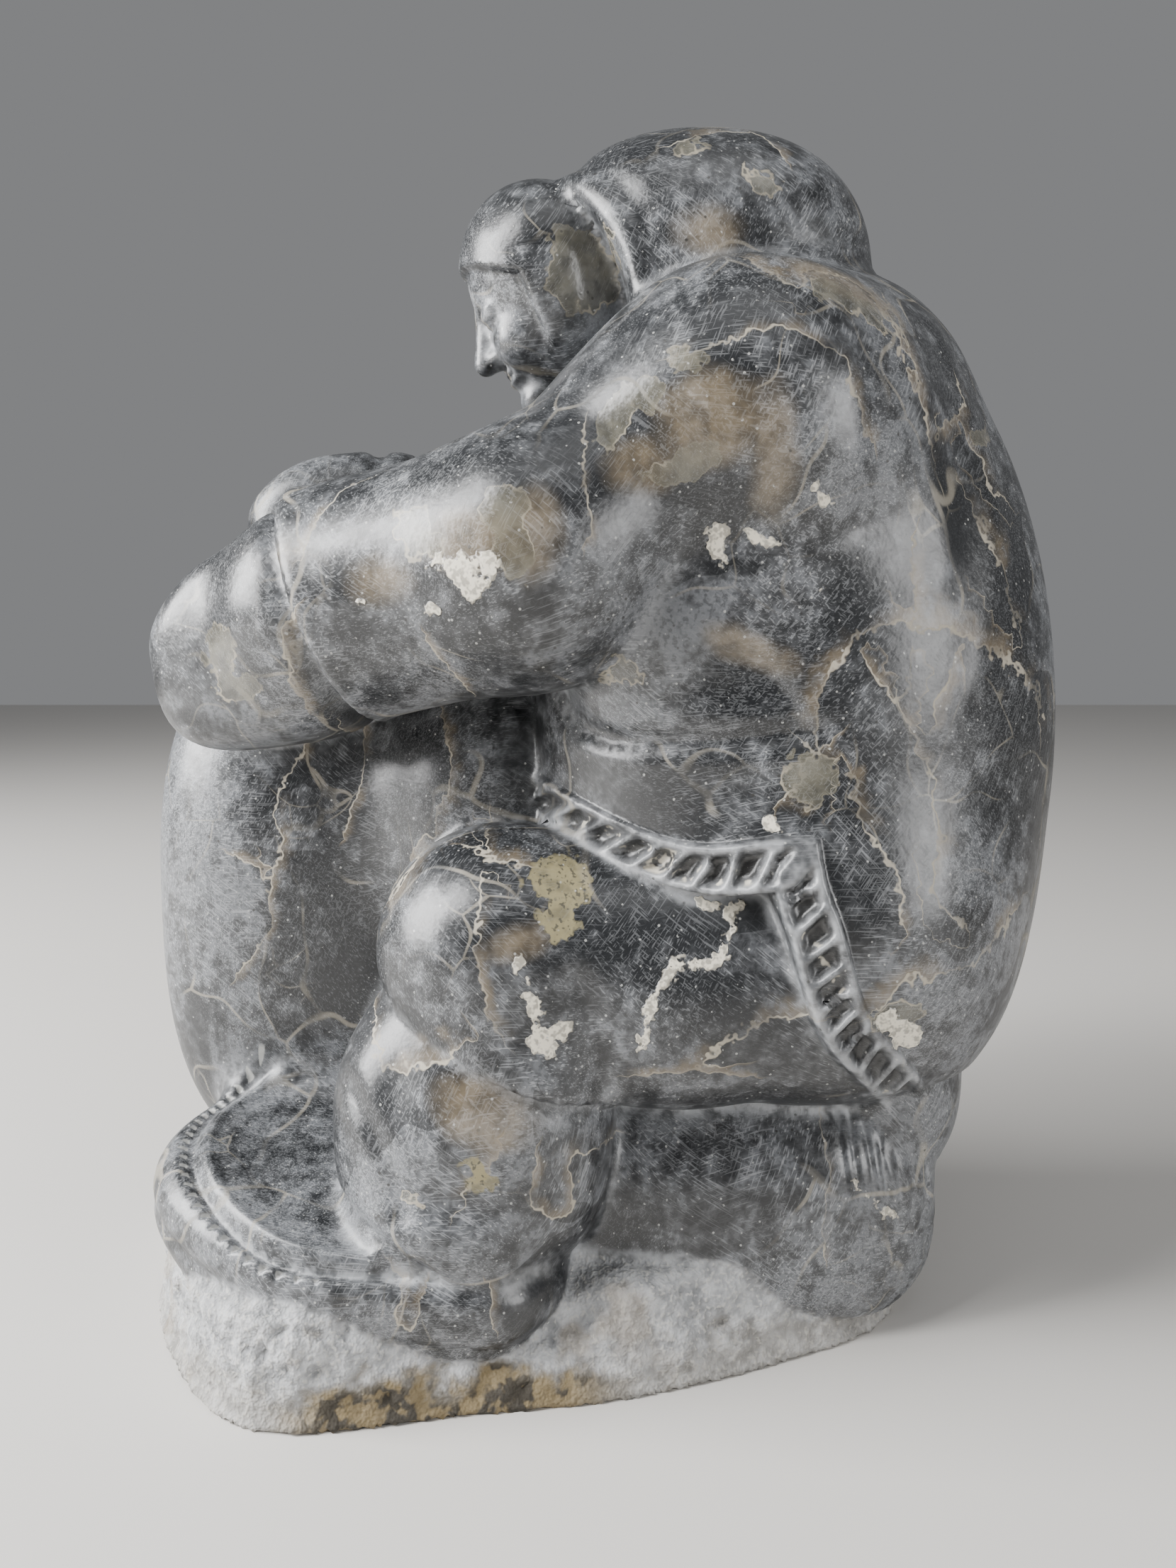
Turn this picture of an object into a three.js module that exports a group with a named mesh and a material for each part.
/**
 * Soapstone carving of a hunter in a hooded parka, seated on a low block with the head bowed
 * and both mittens resting on the raised right knee. The whole work is one piece of stone.
 *
 * Millimetres, +Z up. The figure faces -Y and its left side is +X.
 * The origin is at the middle of the underside, where the stone rests.
 *
 * The figure is a free form. Its masses are laid out as shares of its height, on a scale of
 * 390 units, and flow into each other by soft joins, as a carver leaves them. The form is a
 * signed distance: negative inside the stone, zero on its skin. A skin of tetrahedron cuts is
 * drawn over it and then thinned, flat places first, until FACETS triangles are left.
 */
import * as THREE from "three";
import { ImprovedNoise } from "three/addons/math/ImprovedNoise.js";

// Sizes that can be set by themselves, in millimetres
const FIGURE_HEIGHT = 390;
const BASE_TOE_HEIGHT = 33;
const BASE_BRINK = 7;
const BASE_SLOPE = 1.05;
const HEM_BAND_WIDTH = 13;
const HEM_RAISE = 2.2;
const FOLD_DEPTH = 5;
const SEAM_DEPTH = 2.6;
const CUFF_STEP = 3;
const HOOD_RIM_WIDTH = 6;
const EDGE_ROUNDING = 3;

// Fineness of the skin: the grid that it is drawn on, and the triangles kept
const GRID_STEP = 4;
const FACETS = 9400;
const THINNEST_FACET = 0.03;
const LEAST_OUTWARD = 0.3;

// Stone
const STONE = { color: 0x4a4e50, roughness: 0.5, metalness: 0 };

// One unit is a 390th of the height; carved sizes in millimetres are turned into units
const UNIT = FIGURE_HEIGHT / 390;
const units = (millimetres) => millimetres / UNIT;

// Arithmetic of soft forms

const clamp = (value, low, high) => Math.min(Math.max(value, low), high);
const mix = (from, to, share) => from + (to - from) * share;
const ease = (from, to, value) => {
  const share = clamp((value - from) / (to - from), 0, 1);
  return share * share * (3 - 2 * share);
};
const bump = (value, width) => Math.exp(-((value / width) ** 2));

// Union, difference and overlap of two distances, rounded over the given width
const join = (a, b, width) => {
  const near = Math.max(width - Math.abs(a - b), 0) / width;
  return Math.min(a, b) - near * near * width * 0.25;
};
const meet = (a, b, width) => -join(-a, -b, width);

/** Gives a point's place in the axes of a form tilted about X, Y and Z, in degrees. */
function framed(centre, tilt) {
  const angles = tilt.map((degrees) => THREE.MathUtils.degToRad(degrees));
  const e = new THREE.Matrix4().makeRotationFromEuler(new THREE.Euler(...angles, "ZYX")).elements;
  const [cx, cy, cz] = centre;
  return (x, y, z) => {
    const dx = x - cx;
    const dy = y - cy;
    const dz = z - cz;
    return [
      e[0] * dx + e[1] * dy + e[2] * dz,
      e[4] * dx + e[5] * dy + e[6] * dz,
      e[8] * dx + e[9] * dy + e[10] * dz,
    ];
  };
}

/** Ellipsoid; a power over 2 swells it towards its box, as a pebble or a cushion is. */
function pebble(centre, radii, { tilt, power = 2 } = {}) {
  const [rx, ry, rz] = radii;
  const smallest = Math.min(...radii);
  const upright = (x, y, z) => {
    const a = Math.abs(x) / rx;
    const b = Math.abs(y) / ry;
    const c = Math.abs(z) / rz;
    if (power === 2 || a + b + c > 5) {
      const level = Math.sqrt(a * a + b * b + c * c);
      if (level < 1e-6) return -smallest;
      return (level * (level - 1)) / Math.sqrt((a / rx) ** 2 + (b / ry) ** 2 + (c / rz) ** 2);
    }
    const level = (a ** power + b ** power + c ** power) ** (1 / power);
    if (level < 1e-6) return -smallest;
    const lift = level ** (1 - power);
    const gx = (lift * a ** (power - 1)) / rx;
    const gy = (lift * b ** (power - 1)) / ry;
    const gz = (lift * c ** (power - 1)) / rz;
    return (level - 1) / Math.sqrt(gx * gx + gy * gy + gz * gz);
  };
  if (!tilt) return (x, y, z) => upright(x - centre[0], y - centre[1], z - centre[2]);
  const local = framed(centre, tilt);
  return (x, y, z) => upright(...local(x, y, z));
}

/** Rounded limb from one joint to the next, with a radius of its own at each. */
function limb(from, to, radiusFrom, radiusTo) {
  const axis = to.map((value, i) => value - from[i]);
  const squared = axis[0] ** 2 + axis[1] ** 2 + axis[2] ** 2;
  return (x, y, z) => {
    const px = x - from[0];
    const py = y - from[1];
    const pz = z - from[2];
    const share = clamp((px * axis[0] + py * axis[1] + pz * axis[2]) / squared, 0, 1);
    const reach = Math.hypot(px - axis[0] * share, py - axis[1] * share, pz - axis[2] * share);
    return reach - mix(radiusFrom, radiusTo, share);
  };
}

/** Signed distance in a plane to a smooth line through a few points, and the share along it. */
function trail(points, closed = false, steps = 40) {
  const curve = new THREE.CatmullRomCurve3(points.map(([a, b]) => new THREE.Vector3(a, b, 0)), closed);
  const line = curve.getSpacedPoints(steps).map(({ x, y }) => [x, y]);
  return (a, b) => {
    let best = Infinity;
    let along = 0;
    let side = 1;
    for (let i = 0; i < steps; i++) {
      const [px, py] = line[i];
      const ux = line[i + 1][0] - px;
      const uy = line[i + 1][1] - py;
      const share = clamp(((a - px) * ux + (b - py) * uy) / (ux * ux + uy * uy), 0, 1);
      const ox = a - px - ux * share;
      const oy = b - py - uy * share;
      const squared = ox * ox + oy * oy;
      if (squared < best) {
        best = squared;
        along = (i + share) / steps;
        side = ux * oy - uy * ox < 0 ? -1 : 1;
      }
    }
    return { off: Math.sqrt(best) * side, along };
  };
}

// Seat and rough base. The base's outline runs round the stone, seen from above.
const BASE_OUTLINE = [
  [98, -98], [91, -34], [83, 14], [64, 64], [44, 98], [4, 112], [-52, 98],
  [-86, 40], [-94, -40], [-84, -112], [-36, -150], [22, -150], [66, -130],
];
const basePlan = trail(BASE_OUTLINE, true, 52);
const grain = new ImprovedNoise();
const seatBlock = pebble([8, 44, 38], [54, 76, 46], { power: 3 });

function baseSlab(x, y, z) {
  if (z > 56) return z - 44;
  const { off } = basePlan(x, y);
  const lumps = 2.4 * grain.noise(x / 13, y / 13, z / 13) + 1.2 * grain.noise(x / 6 + 40, y / 6, z / 6);
  const rise = ease(-30, -100, y);
  const brink = mix(units(BASE_BRINK), units(BASE_TOE_HEIGHT) - 4, rise);
  const slope = brink + BASE_SLOPE * Math.max(off, 0);
  const top = meet(z - units(BASE_TOE_HEIGHT), z - slope, 5);
  const flare = 0.12 * z;
  return meet(-off + lumps + flare, top - lumps, units(EDGE_ROUNDING));
}

// Legs: the near one has its thigh level and its boot under it, the far knee stands up in front
const nearThigh = limb([42, 80, 122], [46, -27, 129.5], 41, 38);
const thighSag = pebble([46, 27, 113], [38, 50, 34]);
const nearKnee = limb([46, -27, 129.5], [50, -21, 94], 38, 38.5);
const nearShaft = pebble([46, -36, 72], [41, 44.5, 48], { power: 2.5 });
const nearCalf = limb([47, -31, 118], [46, -36, 80], 31, 39);
const ankleBulge = pebble([58, -41, 51], [33, 32, 20], { tilt: [-8, 0, 0], power: 2.3 });
const farBarrel = pebble([-42, -90, 128], [52, 72, 108], { power: 2.7 });
const farThigh = limb([-44, 76, 124], [-40, -52, 164], 46, 50);
const lap = pebble([-18, -26, 168], [50, 52, 66], { power: 2.2 });
const betweenLegs = pebble([0, -30, 66], [20, 46, 64]);
const farFoot = pebble([-48, -78, 34], [42, 74, 24], { power: 2.8 });
const hips = pebble([0, 70, 118], [84, 64, 46], { power: 2.3 });

// Near foot, in its own axes: across, along (heel positive) and up; toes turned in and raised
const FOOT_HALF = [50, 72.5, 25];
const FOOT_TOP = 18;
const SEAM_LEVEL = 0.88;
const footAxes = framed([42, -73.5, 39], [-12, 9, -29]);
const footPad = pebble([0, 0, 0], FOOT_HALF, { power: 2.6 });

function nearFoot(x, y, z) {
  const [across, back, up] = footAxes(x, y, z);
  const narrow = mix(1, 0.67, ease(-10, 70, back));
  let pad = meet(footPad(across / narrow, back, up), up - FOOT_TOP, 9);
  if (up > 2 && Math.abs(pad) < 12) {
    const plan = Math.hypot(across / (FOOT_HALF[0] * narrow), back / FOOT_HALF[1]);
    const seam = (plan - SEAM_LEVEL) * 58;
    pad += units(SEAM_DEPTH) * bump(seam, 2.6) - 1.5 * bump(seam + 5.5, 3);
    pad += 1.8 * ease(-8, -18, seam);
  }
  return pad;
}

// Parka: trunk, rump, shoulders and the swell of the side over the waist fold
const trunk = pebble([0, 69, 193], [84, 88.5, 154]);
const rump = pebble([0, 75, 132], [90, 60, 55], { power: 2.4 });
const nearShoulder = pebble([48, 50, 288], [41, 45, 43]);
const farShoulder = pebble([-48, 50, 288], [41, 45, 43]);
const nape = pebble([0, 80, 312], [44, 34, 25]);
const belly = pebble([0, 27, 196], [70, 42, 62]);
const nearSide = pebble([50, 30, 236], [31, 38, 38]);
const farSide = pebble([-50, 30, 236], [31, 38, 38]);
const tailFlap = pebble([-6, 100, 79], [56, 31, 43], { power: 2.3 });

// Hem: along the lap, then down behind the thigh with a mitred corner, the same on both sides
const lapHem = trail([[-70, 189], [-32, 174], [-12, 167.5], [3, 161.5], [16, 156.2], [26, 153.8], [38, 153.2], [51.5, 155.3], [110, 157]], false, 30);
const backHem = trail([[46, 210], [51.5, 156], [56, 143], [59.5, 131], [63.5, 119], [69.5, 108.7], [79, 98], [102, 68]], false, 30);
const waistFold = trail([[-10, 216], [-1, 200], [34, 197.5], [78, 203]], false, 20);

function intoParka(y, z) {
  return Math.max(lapHem(y, z).off, backHem(y, z).off);
}

function parka(x, y, z) {
  let cloth = join(trunk(x, y, z), rump(x, y, z), 26);
  cloth = join(cloth, nearShoulder(x, y, z), 26);
  cloth = join(cloth, farShoulder(x, y, z), 26);
  cloth = join(cloth, nape(x, y, z), 24);
  cloth = join(cloth, belly(x, y, z), 20);
  cloth = join(cloth, nearSide(x, y, z), 16);
  cloth = join(cloth, farSide(x, y, z), 16);
  if (cloth > 14) return cloth;
  if (Math.abs(x) > 22 && z < 225 && cloth > -14) {
    const inward = intoParka(y, z);
    const band = ease(0, 1.5, inward) * ease(units(HEM_BAND_WIDTH) + 1.5, units(HEM_BAND_WIDTH), inward);
    cloth -= units(HEM_RAISE) * band;
    cloth = meet(cloth, -inward, units(EDGE_ROUNDING));
    const fold = waistFold(y, z);
    const fade = ease(1, 0.7, fold.along);
    cloth += units(FOLD_DEPTH) * bump(fold.off, 4.5) * fade;
    cloth += 3 * ease(0, -14, fold.off) * ease(-40, -14, fold.off) * fade;
  }
  const rearHem = 92 - 0.1 * (y - 82);
  return meet(cloth, rearHem - z, units(EDGE_ROUNDING));
}

// Arms reach forward; each sleeve ends in an edge that stands over the mitten
const SLEEVES = {
  near: {
    shoulder: [46, 42, 291], elbow: [62, -16, 249.5], wrist: [38, -82, 236], wristRadius: 37.5,
    hand: [24, -103, 224], cuffFacing: [-0.16, -0.93, -0.33], knuckles: [0, -0.75, 0.66],
  },
  far: {
    shoulder: [-46, 42, 291], elbow: [-68, -12, 257], wrist: [-50, -80, 255], wristRadius: 35,
    hand: [-38, -88, 262], cuffFacing: [0.1, -0.98, 0], knuckles: [0, -0.66, 0.75],
  },
};
const ARM_RADII = { shoulder: 36, elbow: 35.5 };
const MITTEN_HALF = [28, 37.5, 32.5];
const MITTEN_DROOP = 8;
const KNUCKLE_REACH = 34;
const CUFF_BACK = 4;

function arm({ shoulder, elbow, wrist, wristRadius, hand, cuffFacing, knuckles }) {
  const upper = limb(shoulder, elbow, ARM_RADII.shoulder, ARM_RADII.elbow);
  const fore = limb(elbow, wrist, ARM_RADII.elbow, wristRadius);
  const reach = new THREE.Vector3(...wrist).sub(new THREE.Vector3(...elbow)).normalize();
  const rim = new THREE.Vector3(...wrist).addScaledVector(reach, -CUFF_BACK);
  const facing = new THREE.Vector3(...cuffFacing).normalize();
  const slant = new THREE.Vector3(...knuckles).normalize();
  const turn = THREE.MathUtils.radToDeg(Math.atan2(reach.x, -reach.y));
  const mitten = pebble(hand, MITTEN_HALF, { tilt: [MITTEN_DROOP, 0, turn], power: 3.2 });
  return (x, y, z) => {
    const pastCuff = (x - rim.x) * facing.x + (y - rim.y) * facing.y + (z - rim.z) * facing.z;
    const sleeve = meet(fore(x, y, z), pastCuff, 4);
    const step = units(CUFF_STEP) * bump(pastCuff - 3, 4);
    const over = (x - hand[0]) * slant.x + (y - hand[1]) * slant.y + (z - hand[2]) * slant.z - KNUCKLE_REACH;
    const fist = meet(mitten(x, y, z), over, 9);
    const hands = join(fist, fore(x, y, z) + units(CUFF_STEP) + 1, 8) + step;
    return { sleeve: join(upper(x, y, z), sleeve, 14), mitten: meet(hands, -10 - pastCuff, 2) };
  };
}
const nearArm = arm(SLEEVES.near);
const farArm = arm(SLEEVES.far);

// Head, bowed forward, in its own axes: across, back and up
const HEAD_CENTRE = [0, -15, 340.5];
const HEAD_BOW = 26;
const headAxes = framed(HEAD_CENTRE, [HEAD_BOW, 0, 0]);
const hoodShell = pebble([0, 37, 342.5], [44, 56.5, 47.5], { power: 2.3 });
const cranium = pebble([0, 3, 5], [28, 25.5, 28]);
const jaw = pebble([0, 1, -17], [19.5, 18.5, 17.5]);
const noseBridge = limb([0, -21.5, 2], [0, -27, -11], 2.2, 4);
const noseWings = pebble([0, -22, -11.5], [6.4, 5, 3.6]);
const lips = pebble([0, -18.6, -19.5], [8.5, 4.2, 4.2]);
const chin = pebble([0, -15.5, -29], [8, 6.5, 6]);
const beard = limb([0, -16.5, -31], [0, -18, -38], 5.5, 3);
const cheek = pebble([12, -14, -12], [8, 8, 8]);
const RIM_BACK = 13;
const RIM_HEIGHT = 326;

function head(x, y, z) {
  const [across, back, up] = headAxes(x, y, z);
  const wide = Math.abs(across);
  const skull = join(cranium(across, back, up), jaw(across, back, up), 14);
  let face = join(skull, cheek(wide, back, up), 6);
  const socket = Math.hypot((wide - 10.5) / 7.5, (up + 0.5) / 4.6, (back + 24) / 9);
  face += 2.8 * Math.exp(-(socket ** 4));
  face = join(face, Math.hypot((wide - 10.3) / 1.5, up + 1, back + 18) - 4.3, 1.2);
  face = join(face, noseBridge(across, back, up), 4);
  face = join(face, noseWings(across, back, up), 2);
  face = join(face, lips(across, back, up), 2.5);
  face += 1.5 * bump(up + 19.3, 1) * ease(9, 5, wide) * ease(-12, -18, back);
  face = join(face, chin(across, back, up), 4);
  face = join(face, beard(across, back, up), 3);
  const fringe = 13 - 0.7 * (back + 14) - 0.006 * wide ** 2;
  const lock = back + 6;
  const under = ease(-26, -20, up);
  const covered = Math.max(ease(fringe - 1, fringe + 1, up), ease(-1, 1, lock) * under);
  return face - 2.6 * covered;
}

function hood(x, y, z) {
  let shell = hoodShell(x, y, z);
  const lean = Math.max(z - RIM_HEIGHT, 0);
  const rim = (y - RIM_BACK + 0.0125 * lean ** 2) / Math.hypot(1, 0.025 * lean);
  shell -= 1.5 * bump(rim - 4, units(HOOD_RIM_WIDTH) * 0.6);
  shell += 1 * bump(rim - 11, 3.5);
  return meet(shell, -rim, 3.5);
}

/** Signed distance of the whole carving, in units. */
function stone(x, y, z) {
  let body = join(hips(x, y, z), tailFlap(x, y, z), 5);
  body = join(body, farThigh(x, y, z), 12);
  body = join(body, lap(x, y, z), 10);
  const leg = join(nearShaft(x, y, z), nearCalf(x, y, z), 10);
  const boot = join(leg, ankleBulge(x, y, z), 5);
  const foot = join(boot, nearFoot(x, y, z), 5);
  const bent = Math.min(y, 20);
  const aboveCuff = 0.93 * (z - 90.3 + 0.2157 * bent - 0.00474 * bent ** 2);
  const knee = meet(nearKnee(x, y, z), -aboveCuff, 3);
  const thigh = join(nearThigh(x, y, z), thighSag(x, y, z), 10);
  body = join(body, join(thigh, knee, 7), 3);
  body = join(body, foot + 1.2 * bump(aboveCuff + 2, 3), 3);
  body = join(body, farBarrel(x, y, z), 14);
  body = join(body, betweenLegs(x, y, z), 10);
  body = join(body, farFoot(x, y, z), 6);
  body = join(body, seatBlock(x, y, z), 4);
  body = join(body, parka(x, y, z), 2.5);
  const near = nearArm(x, y, z);
  const far = farArm(x, y, z);
  const fuse = mix(4, 34, ease(256, 300, z + 0.35 * y));
  body = join(body, near.mitten, 3);
  body = join(body, far.mitten, 3);
  body = join(body, near.sleeve, fuse);
  body = join(body, far.sleeve, fuse);
  body = join(body, hood(x, y, z), 4);
  body = join(body, head(x, y, z), 2);
  body = join(body, baseSlab(x, y, z), 3);
  return Math.max(body, -z);
}

// The six tetrahedra of a grid cell, all round its long diagonal; corners count in binary as x, y, z
const TETRAHEDRA = [[1, 3], [3, 2], [2, 6], [6, 4], [4, 5], [5, 1]].map(([a, b]) => [0, a, b, 7]);

// A block of cells this many times its own width from the skin holds none of it
const FAR_FROM_SKIN = 1.7;

/** Draws a closed skin over the zero level of a distance, on a grid over the given box. */
function drawSkin(distance, box, step) {
  const size = box.getSize(new THREE.Vector3()).divideScalar(step).ceil();
  const [nx, ny, nz] = [size.x + 1, size.y + 1, size.z + 1];
  const at = (i, j, k) => (k * ny + j) * nx + i;
  const place = (i, j, k) => [box.min.x + i * step, box.min.y + j * step, box.min.z + k * step];
  const level = new Float32Array(nx * ny * nz).fill(NaN);
  const block = 4;
  for (let k = 0; k < nz; k += block) {
    for (let j = 0; j < ny; j += block) {
      for (let i = 0; i < nx; i += block) {
        const middle = distance(...place(i + 1.5, j + 1.5, k + 1.5));
        const far = Math.abs(middle) > FAR_FROM_SKIN * block * step;
        for (let c = k; c < Math.min(k + block, nz); c++) {
          for (let b = j; b < Math.min(j + block, ny); b++) {
            for (let a = i; a < Math.min(i + block, nx); a++) {
              const value = far ? middle : distance(...place(a, b, c));
              level[at(a, b, c)] = Math.abs(value) < 1e-4 ? 1e-4 : value;
            }
          }
        }
      }
    }
  }
  fillHollows(level, [nx, ny, nz], step);
  const vertices = [];
  const faces = [];
  const crossings = new Map();
  const crossing = (a, b) => {
    const [low, high] = a.id < b.id ? [a, b] : [b, a];
    const key = low.id * 8 + (high.corner ^ low.corner);
    if (!crossings.has(key)) {
      const share = clamp(low.level / (low.level - high.level), 0.02, 0.98);
      crossings.set(key, vertices.length / 3);
      vertices.push(...low.place.map((value, i) => mix(value, high.place[i], share)));
    }
    return crossings.get(key);
  };
  for (let k = 0; k + 1 < nz; k++) {
    for (let j = 0; j + 1 < ny; j++) {
      for (let i = 0; i + 1 < nx; i++) {
        const ids = [];
        let inside = 0;
        for (let corner = 0; corner < 8; corner++) {
          ids.push(at(i + (corner & 1), j + ((corner >> 1) & 1), k + (corner >> 2)));
          inside += level[ids[corner]] < 0 ? 1 : 0;
        }
        if (inside === 0 || inside === 8) continue;
        const corners = ids.map((id, corner) => ({
          id,
          corner,
          level: level[id],
          place: place(i + (corner & 1), j + ((corner >> 1) & 1), k + (corner >> 2)),
        }));
        for (const four of TETRAHEDRA) cutTetrahedron(four.map((c) => corners[c]), crossing, faces);
      }
    }
  }
  return { vertices, faces };
}

/** Turns air that no way leads out of into stone, and crumbs that touch nothing into air. */
function fillHollows(level, [nx, ny, nz], step) {
  const spread = (seed, belongs) => {
    const reached = new Uint8Array(level.length);
    const waiting = [seed];
    reached[seed] = 1;
    while (waiting.length > 0) {
      const id = waiting.pop();
      const i = id % nx;
      const j = Math.floor(id / nx) % ny;
      const k = Math.floor(id / (nx * ny));
      for (let corner = 1; corner < 8; corner++) {
        for (const way of [-1, 1]) {
          const a = i + way * (corner & 1);
          const b = j + way * ((corner >> 1) & 1);
          const c = k + way * (corner >> 2);
          if (a < 0 || b < 0 || c < 0 || a >= nx || b >= ny || c >= nz) continue;
          const next = (c * ny + b) * nx + a;
          if (reached[next] || !belongs(level[next])) continue;
          reached[next] = 1;
          waiting.push(next);
        }
      }
    }
    return reached;
  };
  const outside = spread(0, (value) => value > 0);
  const core = level.reduce((deepest, value, id) => (value < level[deepest] ? id : deepest), 0);
  const inside = spread(core, (value) => value < 0);
  for (let id = 0; id < level.length; id++) {
    if (level[id] > 0 && !outside[id]) level[id] = -step / 3;
    else if (level[id] < 0 && !inside[id]) level[id] = step / 3;
  }
}

/** Adds the one or two triangles where the skin passes through a tetrahedron. */
function cutTetrahedron(four, crossing, faces) {
  const within = four.filter((corner) => corner.level < 0);
  const without = four.filter((corner) => corner.level >= 0);
  if (within.length === 0 || without.length === 0) return;
  const even = isEven([...within, ...without].map((corner) => four.indexOf(corner)));
  const put = (a, b, c) => faces.push(...(even ? [a, b, c] : [a, c, b]));
  if (within.length === 1) {
    put(...without.map((corner) => crossing(within[0], corner)));
  } else if (within.length === 3) {
    put(...within.map((corner) => crossing(corner, without[0])));
  } else {
    const [a, b, c, d] = [[0, 0], [0, 1], [1, 1], [1, 0]].map(([p, q]) => crossing(within[p], without[q]));
    put(a, b, c);
    put(a, c, d);
  }
}

function isEven(order) {
  let swaps = 0;
  for (let i = 0; i < order.length; i++) {
    for (let j = i + 1; j < order.length; j++) swaps += order[i] > order[j] ? 1 : 0;
  }
  return swaps % 2 === 0;
}

/**
 * Thins a closed skin to a number of triangles by closing its edges one after another, the one
 * that moves the surface least first. Each corner keeps the sum of squared distances to the planes
 * that met there, and the direction in which it faces. An edge whose ends share more than two
 * neighbours stays, and so does one whose closing would turn a triangle over.
 */
class SkinThinner {
  constructor({ vertices, faces }) {
    const count = vertices.length / 3;
    this.place = Float64Array.from(vertices);
    this.face = Int32Array.from(faces);
    this.facing = new Float64Array(count * 3);
    this.error = new Float64Array(count * 10);
    this.stamp = new Uint32Array(count);
    this.around = Array.from({ length: count }, () => []);
    this.left = faces.length / 3;
    this.heap = [];
    for (let f = 0; f < this.left; f++) this.addPlane(f);
    for (let v = 0; v < count; v++) {
      for (const w of this.neighbours(v)) {
        if (v < w) this.offer(v, w);
      }
    }
  }

  /** Normal of a face, as long as twice its area; one corner may be taken to be elsewhere. */
  normal(f, moved = -1, to = null) {
    const { place, face } = this;
    const at = (i, axis) => (face[f * 3 + i] === moved ? to[axis] : place[face[f * 3 + i] * 3 + axis]);
    const px = at(0, 0);
    const py = at(0, 1);
    const pz = at(0, 2);
    const ax = at(1, 0) - px;
    const ay = at(1, 1) - py;
    const az = at(1, 2) - pz;
    const bx = at(2, 0) - px;
    const by = at(2, 1) - py;
    const bz = at(2, 2) - pz;
    return [ay * bz - az * by, az * bx - ax * bz, ax * by - ay * bx];
  }

  addPlane(f) {
    const { place, face, facing, error } = this;
    const normal = this.normal(f);
    const length = Math.hypot(...normal) || 1e-12;
    const [a, b, c] = normal.map((value) => value / length);
    const p = face[f * 3] * 3;
    const d = -(a * place[p] + b * place[p + 1] + c * place[p + 2]);
    const weight = length * keepWeight(place[p], place[p + 1], place[p + 2]);
    const plane = [a * a, a * b, a * c, a * d, b * b, b * c, b * d, c * c, c * d, d * d];
    for (let i = 0; i < 3; i++) {
      const v = face[f * 3 + i];
      this.around[v].push(f);
      for (let axis = 0; axis < 3; axis++) facing[v * 3 + axis] += normal[axis];
      for (let j = 0; j < 10; j++) error[v * 10 + j] += plane[j] * weight;
    }
  }

  neighbours(v) {
    const found = [];
    for (const f of this.around[v]) {
      for (let i = 0; i < 3; i++) {
        const w = this.face[f * 3 + i];
        if (w !== v && !found.includes(w)) found.push(w);
      }
    }
    return found;
  }

  /** Where the closed edge's corner goes, and what that costs. */
  offer(v, w) {
    const { place, error, stamp } = this;
    const q = [];
    for (let i = 0; i < 10; i++) q.push(error[v * 10 + i] + error[w * 10 + i]);
    const middle = [0, 1, 2].map((axis) => (place[v * 3 + axis] + place[w * 3 + axis]) / 2);
    const half = [0, 1, 2].map((axis) => place[v * 3 + axis] - middle[axis]);
    const span = 2 * Math.hypot(...half);
    const pull = 2e-3 * (q[0] + q[4] + q[7]);
    const [a, b, c, e, f, h] = [q[0] + pull, q[1], q[2], q[4] + pull, q[5], q[7] + pull];
    const [r, s, t] = [pull * middle[0] - q[3], pull * middle[1] - q[6], pull * middle[2] - q[8]];
    const [m, n, o] = [e * h - f * f, c * f - b * h, b * f - c * e];
    const whole = a * m + b * n + c * o;
    let to = middle;
    if (Math.abs(whole) > 1e-9 * pull ** 3) {
      const solved = [
        (m * r + n * s + o * t) / whole,
        (n * r + (a * h - c * c) * s + (b * c - a * f) * t) / whole,
        (o * r + (b * c - a * f) * s + (a * e - b * b) * t) / whole,
      ];
      if (Math.hypot(...solved.map((value, axis) => value - middle[axis])) < 1.5 * span) to = solved;
    }
    const [x, y, z] = to;
    const cost = q[0] * x * x + 2 * q[1] * x * y + 2 * q[2] * x * z + 2 * q[3] * x + q[4] * y * y
      + 2 * q[5] * y * z + 2 * q[6] * y + q[7] * z * z + 2 * q[8] * z + q[9];
    this.push({ cost: cost + 1e-4 * span ** 3, v, w, to, stamp: stamp[v] + stamp[w] });
  }

  push(item) {
    const { heap } = this;
    let i = heap.push(item) - 1;
    for (let parent = (i - 1) >> 1; i > 0 && item.cost < heap[parent].cost; parent = (i - 1) >> 1) {
      heap[i] = heap[parent];
      i = parent;
    }
    heap[i] = item;
  }

  pop() {
    const { heap } = this;
    const top = heap[0];
    const item = heap.pop();
    if (heap.length === 0) return top;
    let i = 0;
    for (let child = 1; child < heap.length; child = 2 * i + 1) {
      if (child + 1 < heap.length && heap[child + 1].cost < heap[child].cost) child++;
      if (item.cost <= heap[child].cost) break;
      heap[i] = heap[child];
      i = child;
    }
    heap[i] = item;
    return top;
  }

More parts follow.
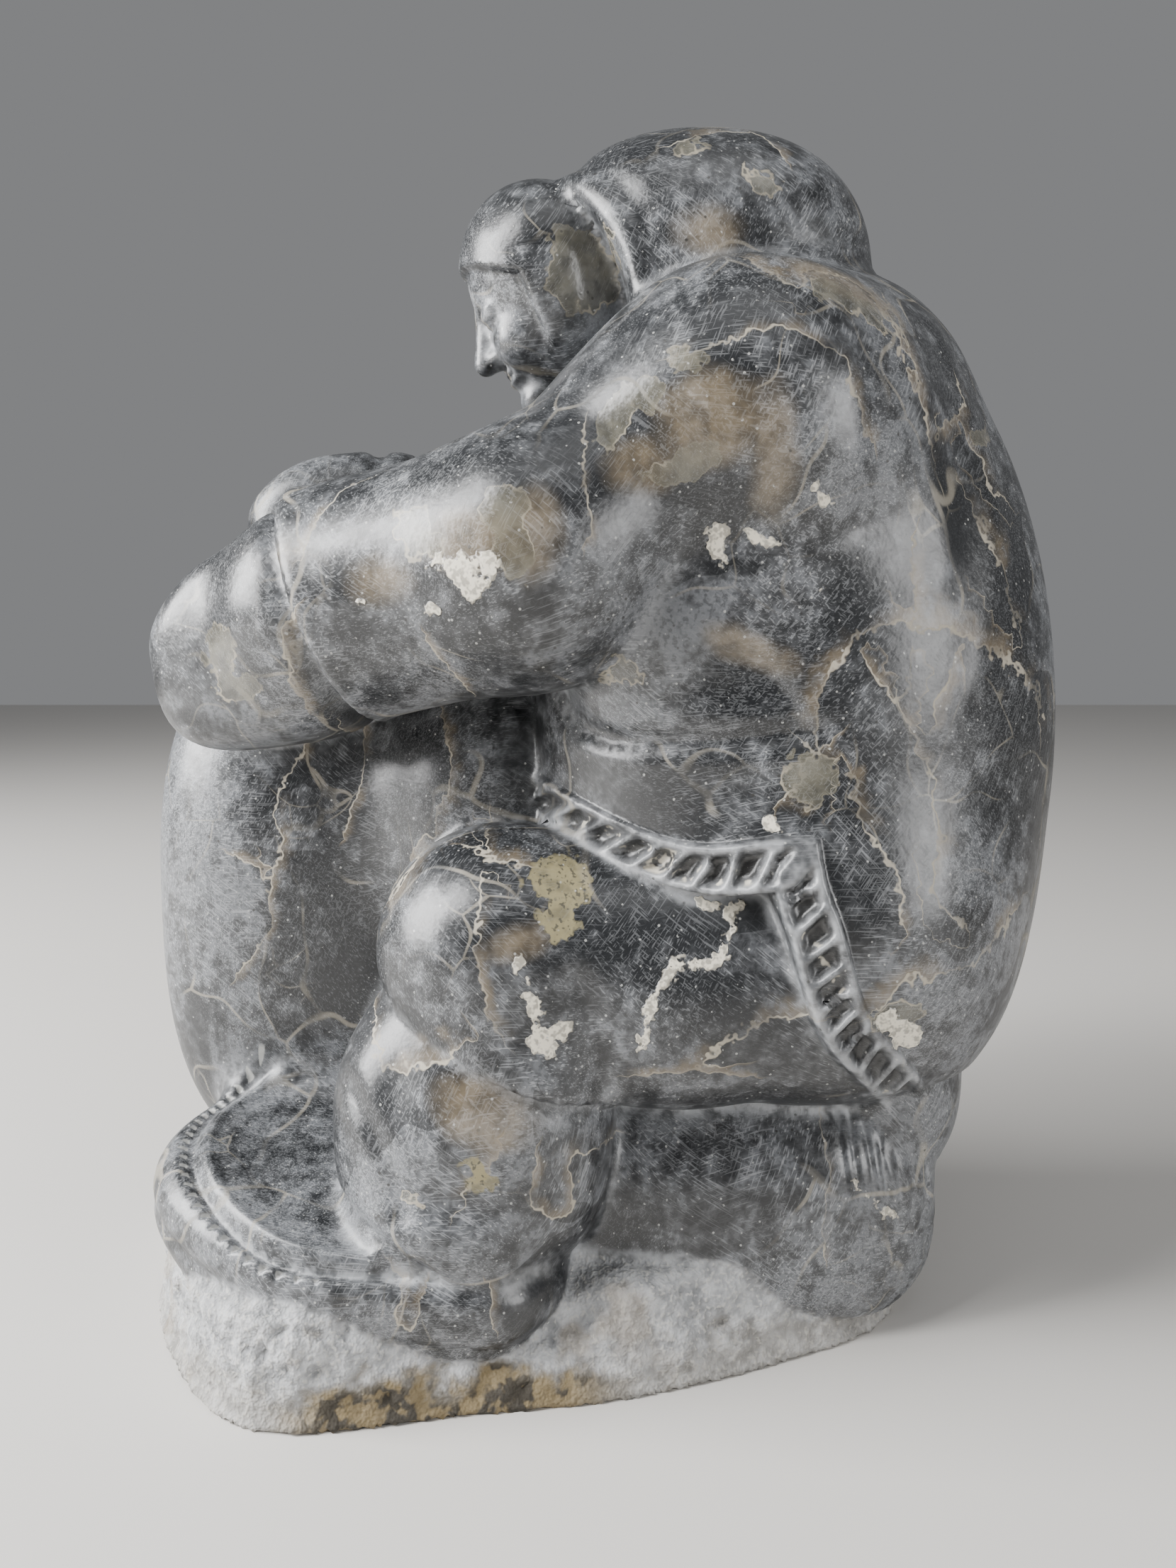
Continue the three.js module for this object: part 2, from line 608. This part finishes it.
  /** Whether a face round one end would turn away from where its corners face, or grow too thin. */
  turns(v, other, to) {
    const { face, facing, place } = this;
    for (const f of this.around[v]) {
      const corners = [face[f * 3], face[f * 3 + 1], face[f * 3 + 2]];
      if (corners.includes(other)) continue;
      const after = this.normal(f, v, to);
      const size = Math.hypot(...after);
      let outward = 0;
      for (const corner of corners) {
        const [x, y, z] = facing.subarray(corner * 3, corner * 3 + 3);
        outward += (after[0] * x + after[1] * y + after[2] * z) / (Math.hypot(x, y, z) || 1);
      }
      if (outward < 3 * LEAST_OUTWARD * size) return true;
      let longest = 0;
      for (const corner of corners) {
        if (corner === v) continue;
        const reach = to.reduce((sum, value, axis) => sum + (value - place[corner * 3 + axis]) ** 2, 0);
        longest = Math.max(longest, reach);
      }
      if (size < THINNEST_FACET * longest && size < Math.hypot(...this.normal(f))) return true;
    }
    return false;
  }

  close({ v, w, to }) {
    const { face, around } = this;
    for (const f of around[w]) {
      const corners = [face[f * 3], face[f * 3 + 1], face[f * 3 + 2]];
      if (corners.includes(v)) {
        for (const corner of corners) {
          if (corner !== w) around[corner] = around[corner].filter((other) => other !== f);
        }
        face.fill(-1, f * 3, f * 3 + 3);
        this.left--;
      } else {
        face[f * 3 + corners.indexOf(w)] = v;
        around[v].push(f);
      }
    }
    around[w] = [];
    this.place.set(to, v * 3);
    for (let axis = 0; axis < 3; axis++) this.facing[v * 3 + axis] += this.facing[w * 3 + axis];
    for (let i = 0; i < 10; i++) this.error[v * 10 + i] += this.error[w * 10 + i];
    this.stamp[v]++;
    for (const n of this.neighbours(v)) this.offer(v, n);
  }

  thin(target) {
    const { around, stamp, heap } = this;
    while (this.left > target && heap.length > 0) {
      const edge = this.pop();
      const { v, w, to } = edge;
      if (around[v].length === 0 || around[w].length === 0 || edge.stamp !== stamp[v] + stamp[w]) continue;
      const besideV = this.neighbours(v);
      const shared = this.neighbours(w).filter((n) => besideV.includes(n));
      if (shared.length !== 2 || this.turns(v, w, to) || this.turns(w, v, to)) continue;
      this.close(edge);
    }
    const kept = new Map();
    const thinned = { vertices: [], faces: [] };
    for (const v of this.face) {
      if (v < 0) continue;
      if (!kept.has(v)) {
        kept.set(v, kept.size);
        thinned.vertices.push(...this.place.subarray(v * 3, v * 3 + 3));
      }
      thinned.faces.push(kept.get(v));
    }
    return thinned;
  }
}

// The head is small and closely carved, so its corners weigh more when the skin is thinned
const HEAD_REGION = new THREE.Sphere(new THREE.Vector3(0, -20, 342), 42);
const HEAD_WEIGHT = 16;
function keepWeight(x, y, z) {
  return HEAD_REGION.containsPoint(new THREE.Vector3(x, y, z)) ? HEAD_WEIGHT : 1;
}

/** The carving as one closed mesh, its underside flat on the ground. */
function carve() {
  const edge = GRID_STEP * 1.5;
  const box = new THREE.Box3(new THREE.Vector3(-112, -184, -edge), new THREE.Vector3(112, 184, 404 + edge));
  const { vertices, faces } = new SkinThinner(drawSkin(stone, box, GRID_STEP)).thin(FACETS);
  for (let i = 2; i < vertices.length; i += 3) {
    if (vertices[i] < GRID_STEP * 0.15) vertices[i] = 0;
  }
  const geometry = new THREE.BufferGeometry();
  geometry.setAttribute("position", new THREE.Float32BufferAttribute(vertices, 3));
  geometry.setIndex(faces);
  geometry.scale(UNIT, UNIT, UNIT);
  geometry.computeBoundingBox();
  const centre = geometry.boundingBox.getCenter(new THREE.Vector3());
  geometry.translate(-centre.x, -centre.y, 0);
  geometry.computeVertexNormals();
  return geometry;
}

const sculpture = new THREE.Group();
const hunter = new THREE.Mesh(carve(), new THREE.MeshStandardMaterial(STONE));
hunter.name = "carved_hunter";
sculpture.add(hunter);

export default sculpture;
